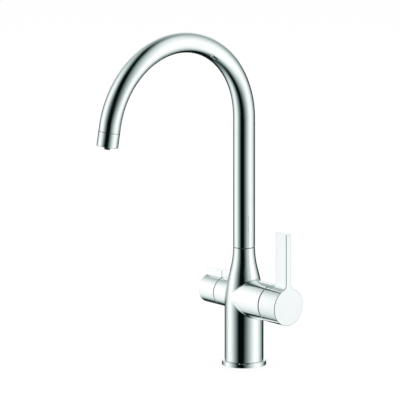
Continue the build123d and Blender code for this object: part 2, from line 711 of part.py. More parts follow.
def mixer_lever_screw():
    """Grub screw of the mixer lever."""
    return grub_screw(HUB_SCREW_X, HUB_SCREW_R, HUB_SCREW_L, STEM_AF)


def mixer_lever_plug():
    """Plug of the mixer lever."""
    return hub_plug(HUB_SCREW_X, HUB_SCREW_R, MIXER_R)


def filter_lever():
    """Short lever with its hub and fin."""
    profile = keyhole(FILTER_R, FIN_T, FIN_TOP, FIN_FOOT_R)
    body = Pos(FIN_START, 0, AXIS_Z) * extrude(Plane.YZ * profile, FILTER_END - FIN_START)
    body = bevelled(body, (FILTER_END,), EDGE)
    body = bevelled(body, (FIN_START,), JOINT_BEVEL)
    body -= x_rod(FILTER_R - HUB_WALL, FIN_START - CUT, FIN_CAVITY_END)
    body -= x_bar(WORK_STEM_AF + 2 * FIT, FIN_CAVITY_END - CUT, WORK_STEM_END + SOCKET_ROOM)
    return to_filter(body - screw_holes(FIN_SCREW_X, FIN_SCREW_R, WORK_STEM_AF, FILTER_R))


def filter_lever_screw():
    """Grub screw of the filter lever."""
    return to_filter(grub_screw(FIN_SCREW_X, FIN_SCREW_R, FIN_SCREW_L, WORK_STEM_AF))


def filter_lever_plug():
    """Plug of the filter lever."""
    return to_filter(hub_plug(FIN_SCREW_X, FIN_SCREW_R, FILTER_R))


# ---- filter headwork ----
def filter_seat_washer():
    """Seal between the headwork and the casting, with its two water ways."""
    body = x_rod(WORK_R - FIT, WORK_SEAT, WORK_DISC_X)
    return to_filter(body - work_ports(WORK_SEAT - CUT, WORK_DISC_X + CUT))


def work_ports(start, end):
    """Inlet and outlet water ways of the headwork, as solids to take away."""
    inlet = x_rod(WORK_PORT_R, start, end, 0, AXIS_Z - WORK_DROP)
    return inlet + x_rod(WORK_PORT_R, start, end)


def filter_fixed_disc():
    """Fixed ceramic disc of the headwork."""
    body = x_rod(WORK_DISC_R, WORK_DISC_X, WORK_DISC_X + WORK_DISC_T)
    return to_filter(body - work_ports(WORK_DISC_X - CUT, WORK_MOVING_X))


def filter_moving_disc():
    """Moving ceramic disc with a radial water way."""
    body = x_rod(WORK_DISC_R - MOVING_IN, WORK_MOVING_X, WORK_STEM_X)
    way = x_slot((0.0, 0.0), (WORK_DROP, 0.0), WORK_PORT_R, WORK_MOVING_X - CUT,
                 WORK_MOVING_X + WORK_WAY_DEPTH)
    return to_filter(body - way)


def filter_headwork():
    """Brass body of the headwork with its hexagon on the boss mouth."""
    head_end = FILTER_BOSS_L + WORK_HEX_T
    body = x_rod(WORK_R - FIT, WORK_DISC_X, FILTER_BOSS_L + CUT)
    body += x_hexagon(WORK_HEX_AF, FILTER_BOSS_L, head_end)
    body -= x_rod(WORK_DISC_R + FIT, WORK_DISC_X - CUT, WORK_NECK)
    return to_filter(body - x_rod(WORK_STEM_R + FIT, WORK_NECK - CUT, head_end + CUT))


def filter_spindle():
    """Spindle with its driving flange and a square end for the lever."""
    shaft_end = FIN_CAVITY_END - STEM_LAP
    body = x_rod(WORK_DISC_R - MOVING_IN, WORK_STEM_X, WORK_NECK - SLIDE)
    body += x_rod(WORK_STEM_R, WORK_NECK - CUT, shaft_end)
    square = x_bar(WORK_STEM_AF, shaft_end - CUT, WORK_STEM_END)
    body += square & x_rod(WORK_STEM_R, FIN_START, WORK_STEM_END)
    half = WORK_SEAL_R + SEAL_WIDTH
    floor_r = WORK_STEM_R - 2 * WORK_SEAL_R - FIT
    groove = x_ring(WORK_STEM_R + CUT, floor_r, WORK_SEAL_X - half, WORK_SEAL_X + half)
    return to_filter(body - groove)


def filter_spindle_o_ring():
    """O-ring on the filter spindle."""
    return to_filter(x_o_ring(WORK_SEAL_R, WORK_STEM_R, WORK_SEAL_X))


NODES = {
    "body_casting": body_casting,
    "base_ring": base_ring,
    "base_gasket": base_gasket,
    "neck_slide_ring": neck_slide_ring,
    "spout_lock_screw": spout_lock_screw,
    "mixer_cartridge_base": mixer_cartridge_base,
    "mixer_port_seals": mixer_port_seals,
    "mixer_fixed_disc": mixer_fixed_disc,
    "mixer_cartridge_housing": mixer_cartridge_housing,
    "mixer_retaining_nut": mixer_retaining_nut,
    "filter_seat_washer": filter_seat_washer,
    "filter_fixed_disc": filter_fixed_disc,
    "filter_headwork": filter_headwork,
    "spout_tube": spout_tube,
    "spout_nipple": spout_nipple,
    "spout_o_rings": spout_o_rings,
    "filtered_tube": filtered_tube,
    "tube_ferrule": tube_ferrule,
    "ferrule_o_ring": ferrule_o_ring,
    "aerator_housing": aerator_housing,
    "aerator_washer": aerator_washer,
    "aerator_insert": aerator_insert,
    "aerator_screen": aerator_screen,
    "filtered_nozzle": filtered_nozzle,
    "mixer_moving_disc": mixer_moving_disc,
    "mixer_disc_carrier": mixer_disc_carrier,
    "mixer_spindle": mixer_spindle,
    "mixer_spindle_o_ring": mixer_spindle_o_ring,
    "mixer_lever": mixer_lever,
    "mixer_lever_screw": mixer_lever_screw,
    "mixer_lever_plug": mixer_lever_plug,
    "filter_moving_disc": filter_moving_disc,
    "filter_spindle": filter_spindle,
    "filter_spindle_o_ring": filter_spindle_o_ring,
    "filter_lever": filter_lever,
    "filter_lever_screw": filter_lever_screw,
    "filter_lever_plug": filter_lever_plug,
}

os.makedirs("parts", exist_ok=True)
for name, make in NODES.items():
    export_step(make(), f"parts/{name}.step")
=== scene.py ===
"""The looks of the three way filtered water tap: its finishes, the studio and the camera."""

import json
import logging
import math
from abc import ABC, abstractmethod
from dataclasses import dataclass, field, replace
from enum import Enum
from typing import ClassVar

import bmesh
import bpy
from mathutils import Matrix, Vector


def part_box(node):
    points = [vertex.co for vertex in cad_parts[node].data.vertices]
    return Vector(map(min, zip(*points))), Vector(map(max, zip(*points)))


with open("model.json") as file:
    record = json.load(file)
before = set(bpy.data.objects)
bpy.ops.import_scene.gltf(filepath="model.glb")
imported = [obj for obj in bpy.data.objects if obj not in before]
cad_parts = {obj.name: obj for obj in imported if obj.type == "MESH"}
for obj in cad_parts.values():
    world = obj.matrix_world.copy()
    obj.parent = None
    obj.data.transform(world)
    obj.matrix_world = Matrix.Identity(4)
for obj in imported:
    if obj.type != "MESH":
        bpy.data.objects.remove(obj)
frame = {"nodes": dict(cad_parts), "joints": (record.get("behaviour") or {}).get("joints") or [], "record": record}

LOG = logging.getLogger("tap")
MM = 0.001
OUTLET_LEAN = math.radians(10.0)

Pair = tuple[float, float]
Triple = tuple[float, float, float]
Colour = Triple
Socket = bpy.types.NodeSocket
Value = float | tuple | Socket

ORIGIN: Triple = (0.0, 0.0, 0.0)


class Axis(Enum):
    """The line that a turned part is turned about."""

    UP = (0.0, 0.0, 1.0)
    ACROSS = (1.0, 0.0, 0.0)
    OUTLET = (0.0, math.sin(OUTLET_LEAN), math.cos(OUTLET_LEAN))


# ---------------------------------------------------------------------------
# Node trees
# ---------------------------------------------------------------------------


class Graph:
    """A node tree, with short calls for the nodes that the finishes use."""

    def __init__(self, tree: bpy.types.NodeTree) -> None:
        """Keeps the tree.

        Args:
            tree: The tree that every call adds to.
        """
        self.tree = tree

    def node(self, kind: str, **settings: object) -> bpy.types.Node:
        """Adds one node.

        Args:
            kind: Blender's name for the node, without "ShaderNode".
            settings: Attributes to set on it.

        Returns:
            The new node.
        """
        made = self.tree.nodes.new("ShaderNode" + kind)
        for name, value in settings.items():
            setattr(made, name, value)
        return made

    def feed(self, socket: Socket, value: Value) -> None:
        """Links a socket to value, or sets its plain value.

        Args:
            socket: The input to fill.
            value: Another node's output, or a number, colour or vector.
        """
        if isinstance(value, Socket):
            self.tree.links.new(value, socket)
        else:
            socket.default_value = value

    def wire(self, node: bpy.types.Node, *values: Value, **named: Value) -> bpy.types.Node:
        """Feeds several inputs of a node.

        Args:
            node: The node.
            values: What its first inputs are fed with, in order.
            named: What other inputs are fed with, by name.

        Returns:
            The same node.
        """
        for socket, value in zip(node.inputs, values):
            self.feed(socket, value)
        for name, value in named.items():
            self.feed(node.inputs[name], value)
        return node

    def math(self, operation: str, *values: Value, clamp: bool = False) -> Socket:
        """A Math node.

        Args:
            operation: Its operation.
            values: One to three numbers or outputs.
            clamp: Whether the result is kept between 0 and 1.

        Returns:
            The node's output.
        """
        return self.wire(self.node("Math", operation=operation, use_clamp=clamp), *values).outputs[0]

    def vector(self, operation: str, *values: Value, out: str = "Vector") -> Socket:
        """A Vector Math node.

        Args:
            operation: Its operation.
            values: One or two vectors or outputs.
            out: The name of the output that is wanted, Vector or Value.

        Returns:
            That output.
        """
        return self.wire(self.node("VectorMath", operation=operation), *values).outputs[out]

    def scaled(self, vector: Value, scale: Value) -> Socket:
        """A vector times a number.

        Args:
            vector: The vector.
            scale: The number.

        Returns:
            Their product.
        """
        made = self.node("VectorMath", operation="SCALE")
        return self.wire(made, vector, Scale=scale).outputs["Vector"]

    def parts(self, vector: Value) -> tuple[Socket, Socket, Socket]:
        """The X, Y and Z of a vector.

        Args:
            vector: The vector that is taken apart.

        Returns:
            Its three numbers.
        """
        return tuple(self.wire(self.node("SeparateXYZ"), vector).outputs)

    def spread(self, value: Socket, low: float, high: float,
               to_low: Value = 0.0, to_high: Value = 1.0) -> Socket:
        """A smooth step: value from low to high becomes to_low to to_high.

        Args:
            value: The output that is mapped.
            low: Where the step starts.
            high: Where the step ends.
            to_low: The result below the step.
            to_high: The result above it.

        Returns:
            The mapped value.
        """
        made = self.node("MapRange", interpolation_type="SMOOTHSTEP")
        return self.wire(made, value, low, high, to_low, to_high).outputs["Result"]

    def noise(self, vector: Value, scale: Value, detail: float = 2.0,
              roughness: float = 0.5) -> Socket:
        """Fractal noise.

        Args:
            vector: Where it is read.
            scale: Features per metre.
            detail: How many octaves it has.
            roughness: How strong the finer octaves are.

        Returns:
            The noise, about 0 to 1.
        """
        given = {"Vector": vector, "Scale": scale, "Detail": detail, "Roughness": roughness}
        return self.wire(self.node("TexNoise"), **given).outputs["Fac"]

    def mix(self, factor: Value, a: Value, b: Value) -> Socket:
        """Mixes two colours.

        Args:
            factor: 0 gives a and 1 gives b.
            a: The first colour.
            b: The second colour.

        Returns:
            The mixed colour.
        """
        made = self.node("Mix", data_type="RGBA")
        for socket, value in zip((made.inputs[0], made.inputs[6], made.inputs[7]), (factor, a, b)):
            if isinstance(value, tuple) and len(value) == 3:
                value = (*value, 1.0)
            self.feed(socket, value)
        return made.outputs[2]

    def ramp(self, factor: Socket, stops: tuple[tuple[float, Colour], ...]) -> Socket:
        """A colour ramp.

        Args:
            factor: The value that is looked up.
            stops: Each stop's place and colour, in order.

        Returns:
            The colour.
        """
        made = self.node("ValToRGB")
        points = made.color_ramp.elements
        while len(points) < len(stops):
            points.new(1.0)
        for point, (place, colour) in zip(points, stops):
            point.position = place
            point.color = (*colour, 1.0)
        self.feed(made.inputs[0], factor)
        return made.outputs[0]

    def bump(self, height: Socket, distance: float, normal: Socket | None = None) -> Socket:
        """A Bump node.

        Args:
            height: The height, 0 to 1.
            distance: What a height of 1 is in metres.
            normal: A normal that it adds to, if there is one.

        Returns:
            The bumped normal.
        """
        made = self.wire(self.node("Bump"), Strength=1.0, Distance=distance, Height=height)
        if normal is not None:
            self.feed(made.inputs["Normal"], normal)
        return made.outputs["Normal"]

    def here(self) -> Socket:
        """The place on the surface in the part's own frame, in metres."""
        return self.node("TexCoord").outputs["Object"]

    def joined(self, given: dict[str, Socket], prefix: str) -> Socket:
        """Three numbers of a group, such as AxisX, AxisY and AxisZ, as one vector.

        Args:
            given: The group's inputs by name.
            prefix: The part of the names before X, Y and Z.

        Returns:
            The vector.
        """
        return self.wire(self.node("CombineXYZ"), *(given[prefix + part] for part in "XYZ")).outputs[0]

    def round_axis(self, given: dict[str, Socket]) -> tuple[Socket, Socket]:
        """Where the surface is, measured from the axis that a group is given.

        Args:
            given: The group's inputs, with the axis and its centre.

        Returns:
            How far along the axis it is, and how far out from it.
        """
        axis = self.joined(given, "Axis")
        offset = self.vector("SUBTRACT", self.here(), self.joined(given, "Centre"))
        along = self.vector("DOT_PRODUCT", offset, axis, out="Value")
        flat = self.vector("SUBTRACT", offset, self.scaled(axis, along))
        return along, self.vector("LENGTH", flat, out="Value")

    def hypotenuse(self, a: Socket, b: Socket) -> Socket:
        """The root of two squares added together.

        Args:
            a: One side.
            b: The other side.

        Returns:
            The long side of their right triangle.
        """
        return self.math("SQRT", self.math("MULTIPLY_ADD", a, a, self.math("MULTIPLY", b, b)))


def about(axis: Axis, centre: Triple = ORIGIN) -> dict[str, float]:
    """An axis and a point on it, under the names that the groups' inputs have.

    Args:
        axis: The line's direction.
        centre: A point on it, in metres.

    Returns:
        The six numbers by name.
    """
    leans = {"Axis" + part: lean for part, lean in zip("XYZ", axis.value)}
    places = {"Centre" + part: place for part, place in zip("XYZ", centre)}
    return {**leans, **places}


# ---------------------------------------------------------------------------
# Effects that several finishes share, each one shader node group
# ---------------------------------------------------------------------------


class Effect(ABC):
    """A surface effect kept as one node group, placed in each finish with its own values."""

    name: ClassVar[str]
    takes: ClassVar[dict[str, float]]
    gives: ClassVar[tuple[str, ...]]

    @classmethod
    @abstractmethod
    def build(cls, graph: Graph, given: dict[str, Socket]) -> dict[str, Socket]:
        """Builds the nodes inside the group.

        Args:
            graph: The group's own tree.
            given: The group's inputs by name.

        Returns:
            What each output is linked to.
        """

    @classmethod
    def group(cls) -> bpy.types.NodeTree:
        """The node group, built the first time that it is asked for.

        Returns:
            The group's tree.
        """
        tree = bpy.data.node_groups.get(cls.name)
        if tree:
            return tree
        tree = bpy.data.node_groups.new(cls.name, "ShaderNodeTree")
        for name, value in cls.takes.items():
            socket = tree.interface.new_socket(name, in_out="INPUT", socket_type="NodeSocketFloat")
            socket.default_value = value
        for name in cls.gives:
            tree.interface.new_socket(name, in_out="OUTPUT", socket_type="NodeSocketFloat")
        graph = Graph(tree)
        start, end = tree.nodes.new("NodeGroupInput"), tree.nodes.new("NodeGroupOutput")
        graph.wire(end, **cls.build(graph, {name: start.outputs[name] for name in cls.takes}))
        return tree

    @classmethod
    def place(cls, graph: Graph, **values: Value) -> dict[str, Socket]:
        """Adds the group to a material.

        Args:
            graph: The material's tree.
            values: This finish's values for the group's inputs.

        Returns:
            The group's outputs by name.
        """
        made = graph.wire(graph.node("Group", node_tree=cls.group()), **values)
        return {name: made.outputs[name] for name in cls.gives}


class Hairlines(Effect):
    """Fine wiping scratches that run three ways over a polished face."""

    name = "hairlines"
    takes = {"Density": 900.0, "Width": 0.012}
    gives = ("Mask",)
    TURNS: ClassVar[tuple[Triple, ...]] = ((0.3, 0.5, 0.2), (1.3, 0.2, 1.1), (0.8, 1.4, 2.3))
    STRETCH: ClassVar[Triple] = (1.0, 0.04, 0.15)
    PATCHES: ClassVar[float] = 160.0
    PATCH_EDGE: ClassVar[Pair] = (0.5, 0.68)
    CREST: ClassVar[float] = 0.5

    @classmethod
    def build(cls, graph: Graph, given: dict[str, Socket]) -> dict[str, Socket]:
        """Three stretched noises, each cut to thin lines and broken up, added together.

        Args:
            graph: The group's own tree.
            given: Density, in features per metre, and Width, as a share of the noise.

        Returns:
            Mask, 1 in a scratch.
        """
        place = graph.here()
        patches = graph.spread(graph.noise(place, cls.PATCHES), *cls.PATCH_EDGE)
        total: Value = 0.0
        for turn in cls.TURNS:
            mapped = graph.wire(graph.node("Mapping"), place, Rotation=turn, Scale=cls.STRETCH)
            level = graph.noise(mapped.outputs[0], given["Density"], detail=1.0)
            off = graph.math("ABSOLUTE", graph.math("SUBTRACT", level, cls.CREST))
            line = graph.math("SUBTRACT", 1.0, graph.math("DIVIDE", off, given["Width"]), clamp=True)
            total = graph.math("ADD", total, line)
        return {"Mask": graph.math("MULTIPLY", total, patches, clamp=True)}


class Smears(Effect):
    """Faint wiped smears left by drying and handling."""

    name = "smears"
    takes = {"Scale": 45.0, "Grain": 700.0}
    gives = ("Mask",)
    PATCH_EDGE: ClassVar[Pair] = (0.46, 0.72)
    MOTTLE: ClassVar[tuple[float, ...]] = (0.25, 0.75, 0.55, 1.0)

    @classmethod
    def build(cls, graph: Graph, given: dict[str, Socket]) -> dict[str, Socket]:
        """Broad patches with a finer mottle inside them.

        Args:
            graph: The group's own tree.
            given: Scale and Grain, the patches and the mottle in features per metre.

        Returns:
            Mask, 1 in a smear.
        """
        place = graph.here()
        broad = graph.noise(place, given["Scale"], detail=3.0)
        fine = graph.noise(place, given["Grain"], detail=3.0, roughness=0.6)
        return {"Mask": graph.math("MULTIPLY", graph.spread(broad, *cls.PATCH_EDGE),
                                   graph.spread(fine, *cls.MOTTLE))}


class RubbedAndShadedEdges(Effect):
    """The outer edges: where hands and cloths rub first, and where the chrome gets painted shade lines."""

    name = "rubbed_and_shaded_edges"
    takes = {"Reach": 0.4 * MM, "Break": 500.0}
    gives = ("Mask",)
    SAMPLES: ClassVar[int] = 6
    LEANING: ClassVar[Pair] = (0.01, 0.16)
    BREAKS: ClassVar[tuple[float, ...]] = (0.35, 0.6, 0.35, 1.0)

    @classmethod
    def build(cls, graph: Graph, given: dict[str, Socket]) -> dict[str, Socket]:
        """How far the rounded normal leans from the true one, broken up by noise.

        Args:
            graph: The group's own tree.
            given: Reach, in metres from the edge, and Break, in features per metre.

        Returns:
            Mask, 1 on an edge.
        """
        rounded = graph.wire(graph.node("Bevel", samples=cls.SAMPLES), given["Reach"])
        flat = graph.node("NewGeometry").outputs["Normal"]
        lean = graph.vector("DOT_PRODUCT", rounded.outputs["Normal"], flat, out="Value")
        edge = graph.spread(graph.math("SUBTRACT", 1.0, lean), *cls.LEANING)
        broken = graph.noise(graph.here(), given["Break"], detail=3.0)
        return {"Mask": graph.math("MULTIPLY", edge, graph.spread(broken, *cls.BREAKS))}


class TurnedRings(Effect):
    """The fine feed marks of a lathe, round a given axis and across its end faces."""

    name = "turned_rings"
    takes = {"Pitch": 0.2 * MM, **about(Axis.UP)}
    gives = ("Height", "Mask")
    CHATTER: ClassVar[float] = 0.7
    DULL: ClassVar[Pair] = (0.45, 0.7)

    @classmethod
    def build(cls, graph: Graph, given: dict[str, Socket]) -> dict[str, Socket]:
        """Rings of the distance along the axis and out from it, with a little chatter.

        Args:
            graph: The group's own tree.
            given: Pitch, in metres, and the axis with its centre.

        Returns:
            Height, the rings, and Mask, where they are duller.
        """
        along, out = graph.round_axis(given)
        turns = graph.math("DIVIDE", graph.math("ADD", along, out), given["Pitch"])
        rings = graph.math("SINE", graph.math("MULTIPLY", turns, math.tau))
        packed = graph.wire(graph.node("CombineXYZ"), turns).outputs[0]
        uneven = graph.noise(packed, cls.CHATTER, detail=3.0, roughness=0.7)
        height = graph.math("MULTIPLY", graph.math("MULTIPLY_ADD", rings, 0.5, 0.5), uneven)
        return {"Height": height, "Mask": graph.spread(uneven, *cls.DULL)}


class RingSeamShade(Effect):
    """Painted shade in the hairline gap where two parts meet, on a circle round an axis."""

    name = "ring_seam_shade"
    takes = {**about(Axis.UP), "Radius": 10.0 * MM, "Half": 0.4 * MM}
    gives = ("Mask",)
    CORE: ClassVar[float] = 0.4

    @classmethod
    def build(cls, graph: Graph, given: dict[str, Socket]) -> dict[str, Socket]:
        """How near the surface is to the circle, against the seam's half width.

        Args:
            graph: The group's own tree.
            given: The axis with its centre, and Radius and Half, in metres.

        Returns:
            Mask, 1 in the seam, where the shade is painted.
        """
        along, out = graph.round_axis(given)
        near = graph.hypotenuse(graph.math("SUBTRACT", out, given["Radius"]), along)
        share = graph.math("DIVIDE", near, given["Half"])
        return {"Mask": graph.spread(share, cls.CORE, 1.0, to_low=1.0, to_high=0.0)}


class BoreThreads(Effect):
    """The cut thread in the wall of an upright bore that opens downwards at height 0."""

    name = "bore_threads"
    takes = {"CentreX": 0.0, "CentreY": 0.0, "Radius": 3.4 * MM, "Pitch": 1.25 * MM,
             "Depth": 24.0 * MM}
    gives = ("Mask", "Height")
    WALL: ClassVar[float] = 0.25 * MM

    @classmethod
    def build(cls, graph: Graph, given: dict[str, Socket]) -> dict[str, Socket]:
        """A sharp-rooted groove that climbs one pitch for each turn round the bore.

        Args:
            graph: The group's own tree.
            given: The bore's centre, Radius and Depth, and the thread's Pitch, in metres.

        Returns:
            Mask, 1 on the bore's wall, and Height, the groove in it.
        """
        x, y, lift = graph.parts(graph.here())
        right = graph.math("SUBTRACT", x, given["CentreX"])
        ahead = graph.math("SUBTRACT", y, given["CentreY"])
        out = graph.hypotenuse(right, ahead)
        off = graph.math("ABSOLUTE", graph.math("SUBTRACT", out, given["Radius"]))
        within = graph.math("MULTIPLY", graph.math("LESS_THAN", off, cls.WALL),
                            graph.math("LESS_THAN", lift, given["Depth"]))
        turn = graph.math("DIVIDE", graph.math("ARCTAN2", ahead, right), math.tau)
        climb = graph.math("SUBTRACT", graph.math("DIVIDE", lift, given["Pitch"]), turn)
        groove = graph.math("MULTIPLY", graph.math("PINGPONG", climb, 0.5), 2.0)
        return {"Mask": within, "Height": graph.math("MULTIPLY", within, groove)}


class MouldGrain(Effect):
    """The fine eroded grain of a moulded face, with a broad unevenness under it."""

    name = "mould_grain"
    takes = {"Scale": 2600.0, "Sink": 90.0}
    gives = ("Height", "Mask")
    FINE_SHARE: ClassVar[float] = 0.4
    SUNK: ClassVar[Pair] = (0.4, 0.65)

    @classmethod
    def build(cls, graph: Graph, given: dict[str, Socket]) -> dict[str, Socket]:
        """Small cells over a slow noise.

        Args:
            graph: The group's own tree.
            given: Scale and Sink, the cells and the slow noise in features per metre.

        Returns:
            Height, both together, and Mask, where the slow noise is high.
        """
        place = graph.here()
        fine = graph.noise(place, given["Scale"], detail=3.0, roughness=0.55)
        broad = graph.noise(place, given["Sink"])
        height = graph.math("ADD", graph.math("MULTIPLY", fine, cls.FINE_SHARE),
                            graph.math("MULTIPLY", broad, 1.0 - cls.FINE_SHARE))
        return {"Height": height, "Mask": graph.spread(broad, *cls.SUNK)}


# ---------------------------------------------------------------------------
# Finishes
# ---------------------------------------------------------------------------


CHROME: Colour = (0.895, 0.912, 0.910)
# The duller chrome of smears, and also the colour of the painted shade lines on chrome edges.
CHROME_DULL: Colour = (0.83, 0.85, 0.85)
BRASS: Colour = (0.80, 0.61, 0.33)
BRASS_DULL: Colour = (0.62, 0.45, 0.22)
# The near black of the painted shade in the seams between chromed parts.
SEAM_SHADE: Colour = (0.02, 0.022, 0.022)
TARNISH = {"Scale": 160.0, "Grain": 1800.0}


@dataclass(frozen=True)
class Finish(ABC):
    """One finish: plain values on the shader's own sockets, and nodes for what varies."""

    name: str
    colour: Colour
    second: Colour
    roughness: float
    metallic: float = 0.0
    coat: float = 0.0
    ior: float = 1.5
    extra: dict[str, float] = field(default_factory=dict, hash=False, compare=False)

    def material(self) -> bpy.types.Material:
        """The finish as a material, made the first time that it is asked for.

        Returns:
            The material.
        """
        found = bpy.data.materials.get(self.name)
        if found:
            return found
        made = bpy.data.materials.new(self.name)
        made.use_nodes = True
        made.diffuse_color = (*self.colour, 1.0)
        made.node_tree.nodes.clear()
        graph = Graph(made.node_tree)
        plain = {"Base Color": (*self.colour, 1.0), "Roughness": self.roughness,
                 "Metallic": self.metallic, "Coat Weight": self.coat, "IOR": self.ior}
        shader = graph.wire(graph.node("BsdfPrincipled"), **plain, **self.extra)
        self.vary(graph, shader)
        graph.wire(graph.node("OutputMaterial"), Surface=shader.outputs[0])
        return made

    @abstractmethod
    def vary(self, graph: Graph, shader: bpy.types.Node) -> None:
        """Adds what changes over the surface.

        Args:
            graph: The material's tree.
            shader: Its Principled BSDF.
        """

    @staticmethod
    def link(graph: Graph, shader: bpy.types.Node, colour: Socket, rough: Socket,
             normal: Socket) -> None:
        """Links what varies to the shader.

        Args:
            graph: The material's tree.
            shader: Its Principled BSDF.
            colour: The base colour.
            rough: The roughness.
            normal: The normal.
        """
        graph.wire(shader, **{"Base Color": colour, "Roughness": rough, "Normal": normal})


@dataclass(frozen=True)
class SeamShade:
    """Where two chromed parts meet: a circle of radius about an axis, drawn as a line of painted shade."""

    axis: Axis
    centre: Triple
    radius: float
    half: float = 0.4 * MM
    depth: float = 0.9

    def mask(self, graph: Graph) -> Socket:
        """The mask of the seam's painted shade, with this seam's own values.

        Args:
            graph: The material's tree.

        Returns:
            0 away from the seam, and up to its depth in it.
        """
        seam = RingSeamShade.place(graph, **about(self.axis, self.centre), Radius=self.radius,
                              Half=self.half)
        return graph.math("MULTIPLY", seam["Mask"], self.depth)


@dataclass(frozen=True)
class Bore:
    """A tapped bore in the underside, in metres."""

    centre: Pair
    radius: float
    depth: float
    pitch: float

    def thread(self, graph: Graph) -> dict[str, Socket]:
        """The thread in its wall.

        Args:
            graph: The material's tree.

        Returns:
            The thread's Mask and Height.
        """
        x, y = self.centre
        return BoreThreads.place(graph, CentreX=x, CentreY=y, Radius=self.radius,
                                 Pitch=self.pitch, Depth=self.depth)


@dataclass(frozen=True)
class MachinedFoot:
    """The casting's underside, faced and tapped after plating, so that it is bare brass."""

    bores: tuple[Bore, ...]
    plate_edge: Pair = (0.2 * MM, 0.3 * MM)
    ring_pitch: float = 0.25 * MM
    ring_share: float = 0.015
    thread_depth: float = 0.4 * MM
    roughness: float = 0.26
    tarnish: float = 0.1

    def over(self, graph: Graph, colour: Socket, rough: Socket,
             normal: Socket) -> tuple[Socket, Socket, Socket]:
        """Lays the machined faces over the plated ones.

        Args:
            graph: The material's tree.
            colour: The plated colour.
            rough: The plated roughness.
            normal: The plated normal.

        Returns:
            The colour, roughness and normal with the machined faces in them.
        """
        lift = graph.parts(graph.here())[2]
        bare = graph.spread(lift, *self.plate_edge, to_low=1.0, to_high=0.0)
        rings = TurnedRings.place(graph, Pitch=self.ring_pitch)["Height"]
        height = graph.math("MULTIPLY", bare, graph.math("MULTIPLY", rings, self.ring_share))
        for bore in self.bores:
            thread = bore.thread(graph)
            bare = graph.math("MAXIMUM", bare, thread["Mask"])
            height = graph.math("ADD", height, thread["Height"])
        worn = Smears.place(graph, **TARNISH)["Mask"]
        gloss = graph.math("MULTIPLY_ADD", worn, self.tarnish, self.roughness)
        return (graph.mix(bare, colour, graph.mix(worn, BRASS, BRASS_DULL)),
                graph.math("MULTIPLY_ADD", bare, graph.math("SUBTRACT", gloss, rough), rough),
                graph.bump(height, self.thread_depth, normal))


@dataclass(frozen=True)
class PolishedChrome(Finish):
    """Bright chromium plate over polished brass.

    The values hairline, smear and edge are what each adds to the roughness. Dulling darkens the colour in the
    smears, and along the edges as painted shade lines.
    """

    hairline: float = 0.05
    smear: float = 0.03
    edge: float = 0.04
    # How far the smears and the painted shade lines on the edges darken the colour.
    dulling_and_edge_shade: float = 0.5
    ripples: float = 240.0
    ripple: float = 2.0e-6
    scratch: float = 4.0e-7
    round_over: float = 0.7 * MM
    round_samples: int = 8
    # Where the colour gets painted shade along a joint, if anywhere.
    seam: SeamShade | None = None
    foot: MachinedFoot | None = None

    def vary(self, graph: Graph, shader: bpy.types.Node) -> None:
        """Hairlines, smears and rubbed edges in the gloss, rounded edges and a slow ripple; in the colour, dulled
        smears, painted shade lines along the edges and the seam's painted shade.

        Args:
            graph: The material's tree.
            shader: Its Principled BSDF.
        """
        lines = Hairlines.place(graph)["Mask"]
        smears = Smears.place(graph)["Mask"]
        edges = RubbedAndShadedEdges.place(graph)["Mask"]
        rough: Value = self.roughness
        for mask, amount in ((lines, self.hairline), (smears, self.smear), (edges, self.edge)):
            rough = graph.math("MULTIPLY_ADD", mask, amount, rough)
        dull = graph.math("MULTIPLY", smears, self.dulling_and_edge_shade)
        # Painted shade: the edges darken the colour into grey lines along them, on top of the smears' dulling.
        dull = graph.math("MULTIPLY_ADD", edges, self.dulling_and_edge_shade, dull)
        colour = graph.mix(dull, self.colour, self.second)
        ripple = graph.noise(graph.here(), self.ripples, detail=1.0)
        normal = graph.bump(ripple, self.ripple, self.rounded(graph))
        normal = graph.bump(lines, self.scratch, normal)
        # Painted shade: the seam darkens the chrome's colour to near black along the joint.
        if self.seam:
            colour = graph.mix(self.seam.mask(graph), colour, SEAM_SHADE)
        if self.foot:
            colour, rough, normal = self.foot.over(graph, colour, rough, normal)
        self.link(graph, shader, colour, rough, normal)

    def rounded(self, graph: Graph) -> Socket | None:
        """The normal with the edges rounded over by polishing.

        Args:
            graph: The material's tree.

        Returns:
            The normal, or nothing where the edges stay crisp.
        """
        if not self.round_over:
            return None
        made = graph.node("Bevel", samples=self.round_samples)
        return graph.wire(made, Radius=self.round_over).outputs["Normal"]


@dataclass(frozen=True)
class TurnedMetal(Finish):
    """Bare metal as it comes off the lathe.

    The values dull, tarnish and shine are what the feed marks, the tarnish and the rubbed
    edges add to the roughness.
    """

    axis: Axis = Axis.UP
    centre: Triple = ORIGIN
    pitch: float = 0.2 * MM
    depth: float = 4.0e-6
    dull: float = 0.08
    tarnish: float = 0.10
    shine: float = -0.08
    brighter: float = 1.12
    reach: float = 0.25 * MM

    def vary(self, graph: Graph, shader: bpy.types.Node) -> None:
        """Feed marks, a little tarnish and bright edges.

        Args:
            graph: The material's tree.
            shader: Its Principled BSDF.
        """
        rings = TurnedRings.place(graph, Pitch=self.pitch, **about(self.axis, self.centre))
        smears = Smears.place(graph, **TARNISH)["Mask"]
        edges = RubbedAndShadedEdges.place(graph, Reach=self.reach)["Mask"]
        rough: Value = self.roughness
        for mask, amount in ((rings["Mask"], self.dull), (smears, self.tarnish), (edges, self.shine)):
            rough = graph.math("MULTIPLY_ADD", mask, amount, rough)
        bright = tuple(min(1.0, part * self.brighter) for part in self.colour)
        colour = graph.mix(edges, graph.mix(smears, self.colour, self.second), bright)
        self.link(graph, shader, colour, rough, graph.bump(rings["Height"], self.depth))


